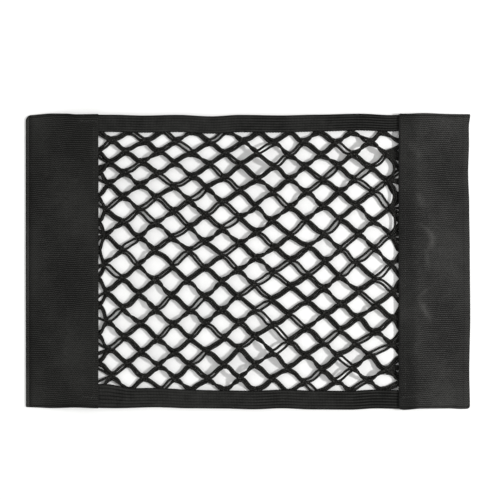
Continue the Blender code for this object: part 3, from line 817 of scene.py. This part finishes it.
def legCords(way, legs, t, chance):
    # two cords a leg: p = line + bow + crossing at each end + side * apart / 2 in the middle, where
    # fall = t - bend sin(2 pi t) / 2 pi gives the leg its S
    startIn, endIn, x0, y0, x1, y1 = legs
    count = len(x0)
    dx, dy = (x1 - x0)[:, None], (y1 - y0)[:, None]
    bend = net["bend"][way] + chance.normal(0, net["bendStray"], count)[:, None]
    x = x0[:, None] + dx * t
    y = y0[:, None] + dy * (t - bend * np.sin(2 * np.pi * t) / (2 * np.pi))
    slope = dy * (1 - bend * np.cos(2 * np.pi * t)) / dx
    normal = np.stack([-slope, np.ones_like(slope)], -1) / np.sqrt(1 + slope**2)[..., None]
    # whether they are parted, how far apart they lie, whether they change places, which is above,
    # how early they leave the joint, how thick they are
    draw = chance.uniform(0, 1, (6, count))
    parted = draw[0] < partedShare(way, (x0 + x1) / 2)
    both = np.where(parted, net["bothReaches"]["parted"], net["bothReaches"]["closed"])[:, None]
    early = byState("reach", parted, draw[4])[:, None]
    fromStart = 1 - smooth(t / early)
    fromEnd = 1 - smooth((1 - t) / (both - early))
    free = 1 - fromStart - fromEnd
    apart = byState("apart", parted, draw[1])[:, None] * np.clip(dx / net["columnStep"], net["crowded"], 1)
    twisted = ~parted & (draw[2] < net["twisted"]) & startIn & endIn
    upper = np.where(draw[3] < 0.5, -1, 1)[:, None]
    near = np.where(twisted[:, None], 0, apart)
    swell = byState("swell", parted, draw[5])[:, None]
    thick = net["cord"] * (1 + swell * free)
    touching = net["touching"] * net["cord"] * (1 + swell)
    above = upper * np.sqrt(np.clip(touching**2 - near**2, 0, None)) / 2
    bowed = net["bow"][way] + chance.normal(0, net["bowStray"], count)[:, None]
    bow = bowed * np.sin(np.pi * t)
    base, flat = underNet(x, y), squeeze(x, y)
    swapped = twisted[:, None, None]
    cords = []
    for k, name in zip((1, -1), net["pair"][way]):
        came, going, first, last, _, twin = strands[name]
        twinCame, twinGoing, twinFirst = strands[twin][:3]
        endCame = np.where(swapped, crossing(twinGoing, twinCame, 1 - t), crossing(going, came, 1 - t))
        startHigh = weaving(last, t)
        endHigh = np.where(swapped[..., 0], weaving(twinFirst, 1 - t), weaving(first, 1 - t))
        hand = k * np.where(twisted[:, None], np.cos(np.pi * smooth(t)), 1) * apart / 2
        shift = crossing(came, going, t) * fromStart[..., None] + endCame * fromEnd[..., None]
        start = chance.uniform(0, 1, (count, 1))
        wobble = net["wobble"] * np.sin(2 * np.pi * (net["wobbleWaves"] * t + start))
        shift = shift + normal * ((hand + wobble) * free + bow)[..., None]
        held = np.maximum(1 - free, np.maximum(np.abs(startHigh), np.abs(endHigh)))
        high = thick + net["weave"] * (held + startHigh + endHigh)
        high = high + (net["lift"] + np.abs(above) + k * above) * free
        line = np.stack([x + shift[..., 0], y + shift[..., 1], base + flat * high], -1)
        cords.append((name, twisted, line, thick, flat))
    return cords


def addNet(material):
    # joints first, then the legs' cords, each from a joint's ring, or a cut end, to another
    chance = np.random.default_rng(net["seed"] + 2)
    column, _, jointX, jointY = (part.ravel() for part in jointPlaces())
    joints = len(column)
    rings = jointRings(jointX, jointY)
    along = [column * net["legLong"]] * len(strands)
    jointRing = {name: index * joints + np.arange(joints) for index, name in enumerate(strands)}
    rows = len(strands) * joints
    chains, cutStarts, cutEnds = [], [], []
    for way in (1, -1):
        a, b, *legs = netLegs(way)
        startIn, endIn, x0, y0, x1, y1 = legs
        begin = np.where(startIn, 0, 1 - cutShare(x1, y1, x0, y0))[:, None]
        stop = np.where(endIn, 1, cutShare(x0, y0, x1, y1))[:, None]
        t = begin + (stop - begin) * np.array(net["t"])
        for name, twisted, line, thick, flat in legCords(way, legs, t, chance):
            twin = strands[name][-1]
            rings.append(tubeRings(line, np.gradient(line, axis=1), thick, net["around"], flat))
            along.append(((column[a][:, None] + t) * net["legLong"]).ravel())
            chain = rows + np.arange(t.size).reshape(t.shape)
            rows += t.size
            farRing = np.where(twisted, jointRing[twin][b], jointRing[name][b])
            chain[:, 0] = np.where(startIn, jointRing[name][a], chain[:, 0])
            chain[:, -1] = np.where(endIn, farRing, chain[:, -1])
            chains.append(chain)
            cutStarts.append(chain[~startIn, 0])
            cutEnds.append(chain[~endIn, -1])
    used, chains = np.unique(np.concatenate(chains), return_inverse=True)
    chains = chains.reshape(-1, len(net["t"]))
    rings, along = np.concatenate(rings)[used], np.concatenate(along)[used]
    ring = np.arange(net["around"])
    starts = np.searchsorted(used, np.concatenate(cutStarts))[:, None] * net["around"] + ring
    ends = np.searchsorted(used, np.concatenate(cutEnds))[:, None] * net["around"] + ring
    caps = np.concatenate([starts[:, ::-1], ends])
    faces = tubeFaces(chains, net["around"])
    cloth = tubeMap(chains, net["around"], along)
    piece = addPiece("twinCordNet", rings, faces, caps, cloth, material)
    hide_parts("net")
    trims = [addLooseCords(material)]


# loose cords at both ends of the net
loose = {
    "thick": 0.88, "steps": 11, "rows": (0, 20), "seed": 5,
    # by column: how far up each cord of a fan goes, where it ends, the share of them that is there
    "fans": {17: ((-6.5, -4, -1.5, 1, 3.5), 137, 0.7), 0: ((-8, -5, 5, 8), -136, 0.6)},
    "fanStray": 0.7, "fanFrom": 0.1, "fanLong": 0.75, "fanWave": 0.4, "fanWaves": 3, "fanHigh": (0.9, 0.4),
    # those that run down the right end: bulge, how far it strays, height in cords; they are above the
    # first y and below the second, as the net lies taut between
    "downs": ((4.6, 0.9, 3.1), (7.2, 0.8, 1.6)), "downColumn": 17, "downAbove": 22, "downBelow": -88,
    "downPower": 0.7, "downMost": 3,
}


def addLooseCords(material):
    # some fan out from the last joints to under the band, and at the right others run down from
    # joint to joint, x = line + bulge * sin(pi t) ^ power
    chance = np.random.default_rng(net["seed"] + loose["seed"])
    column, row, x, y = jointPlaces()
    odd = ((column + row) % 2 == 1) & (row > loose["rows"][0]) & (row < loose["rows"][1])
    t = np.linspace(0, 1, loose["steps"])
    lines = []
    for last, (spread, end, share) in loose["fans"].items():
        spread = np.array(spread)
        at = odd & (column == last)
        x0, y0 = np.repeat(x[at], len(spread)), np.repeat(y[at], len(spread))
        up = np.tile(spread, at.sum()) + chance.normal(0, loose["fanStray"], len(x0))
        keep = chance.uniform(0, 1, len(x0)) < share
        x0, y0, up = x0[keep, None], y0[keep, None], up[keep, None]
        lineX = x0 + (end - x0) * t
        lineY = y0 + up * smooth(t * loose["fanLong"] + loose["fanFrom"])
        lineY = lineY + loose["fanWave"] * np.sin(loose["fanWaves"] * t + x0)
        least, more = loose["fanHigh"]
        height = underNet(lineX, lineY) + net["cord"] * (least + more * (1 - t))
        lines.append(np.stack([lineX, lineY, height], -1))
    for bulge, stray, high in loose["downs"]:
        at = odd & (column == loose["downColumn"]) & ((y > loose["downAbove"]) | (y < loose["downBelow"]))
        x0, y0, x1, y1 = x[at][:-1, None], y[at][:-1, None], x[at][1:, None], y[at][1:, None]
        near = (np.abs(y0 - y1) < loose["downMost"] * net["rowStep"])[:, 0]
        x0, y0, x1, y1 = x0[near], y0[near], x1[near], y1[near]
        out = bulge + chance.normal(0, stray, x0.shape)
        lineX = x0 + (x1 - x0) * t + out * np.sin(np.pi * t) ** loose["downPower"]
        lineY = y0 + (y1 - y0) * t + chance.normal(0, stray, x0.shape) * np.sin(2 * np.pi * t)
        lines.append(np.stack([lineX, lineY, underNet(lineX, lineY) + net["cord"] * high], -1))
    thick = net["cord"] * loose["thick"]
    return addThreads("looseCords", np.concatenate(lines), thick, material)


def cordFinish():
    # a knitted cover: two sets of threads wound round the cord, pale where they cross on top, with a painted
    # highlight along the top
    finish = Finish("knittedCord", roughness=0.85, specular=0.03)
    u, v = finish.split(finish.cloth())[:2]
    along = v * (1 / net["knitPitch"])
    left = (u * net["knitAround"] + along).wave(1.0)
    right = (u * net["knitAround"] - along).wave(1.0)
    cross = (left * right).ramp(*net["knitCross"])
    fleck = finish.noise(finish.place(), net["fleckSize"], detail=1.0).ramp(*net["fleckFrom"])
    # the cord's top, where the sine of u peaks, carries a painted highlight
    core = u.wave(1.0).ramp(*net["highlightFrom"])
    more = net["lighten"]
    share = core * (more["core"] + cross * (more["cross"] + fleck * more["fleck"]))
    return finish.paint(finish.mix(share, net["dark"], net["pale"]), cross, net["reliefDeep"])


def floorFinish():
    # plain and pale, with a faint slow grain
    finish = Finish("paleFloor", roughness=0.9, specular=0.1)
    grain = finish.noise(finish.place(), studio["grain"], detail=2.0)
    pale = studio["floorColour"]
    shade = tuple(part * studio["floorShade"] for part in pale)
    return finish.paint(finish.mix(grain * studio["grainShare"], pale, shade), grain, studio["grainDeep"])


def addFloor():
    # a flat grid just under the net
    half = studio["floor"] / 2
    grid = np.linspace(-half, half, studio["floorSteps"])
    x, y = np.meshgrid(grid, grid)
    spots = np.stack([x, y, np.full_like(x, -studio["floorDrop"])], -1)
    n = len(grid)
    corner = (np.arange(n - 1)[:, None] * n + np.arange(n - 1)).ravel()
    quads = np.stack([corner, corner + 1, corner + n + 1, corner + n], -1)
    mesh = bpy.data.meshes.new("floor")
    mesh.from_pydata((spots.reshape(-1, 3) * mm).tolist(), [], quads.tolist())
    mesh.materials.append(floorFinish())
    floor = bpy.data.objects.new("floor", mesh)
    bpy.context.scene.collection.objects.link(floor)


addCamera()
addLight()
addFloor()
print("camera, light and floor made")
blackThread = threadFinish("black")
greyThread = threadFinish("grey")
finishes = {side: webbingFinish(side) for side in ("left", "right")}
for side in ("left", "right"):
    band = addBand(side, finishes[side])
    trims = addSeams(side, greyThread)
    if side == "right":
        # the bound edge, whose black partly stands in for shade under the band's raised edge
        trims += addBoundEdgeAndShade(blackThread)
    width, height = bandSize(side)
    width * mm
    height * mm
print("bands made")
elastic = tapeFinish()
addBinding("top", elastic, blackThread)
addBinding("bottom", elastic, blackThread)
print("bindings made")
addNet(cordFinish())
print("net made")
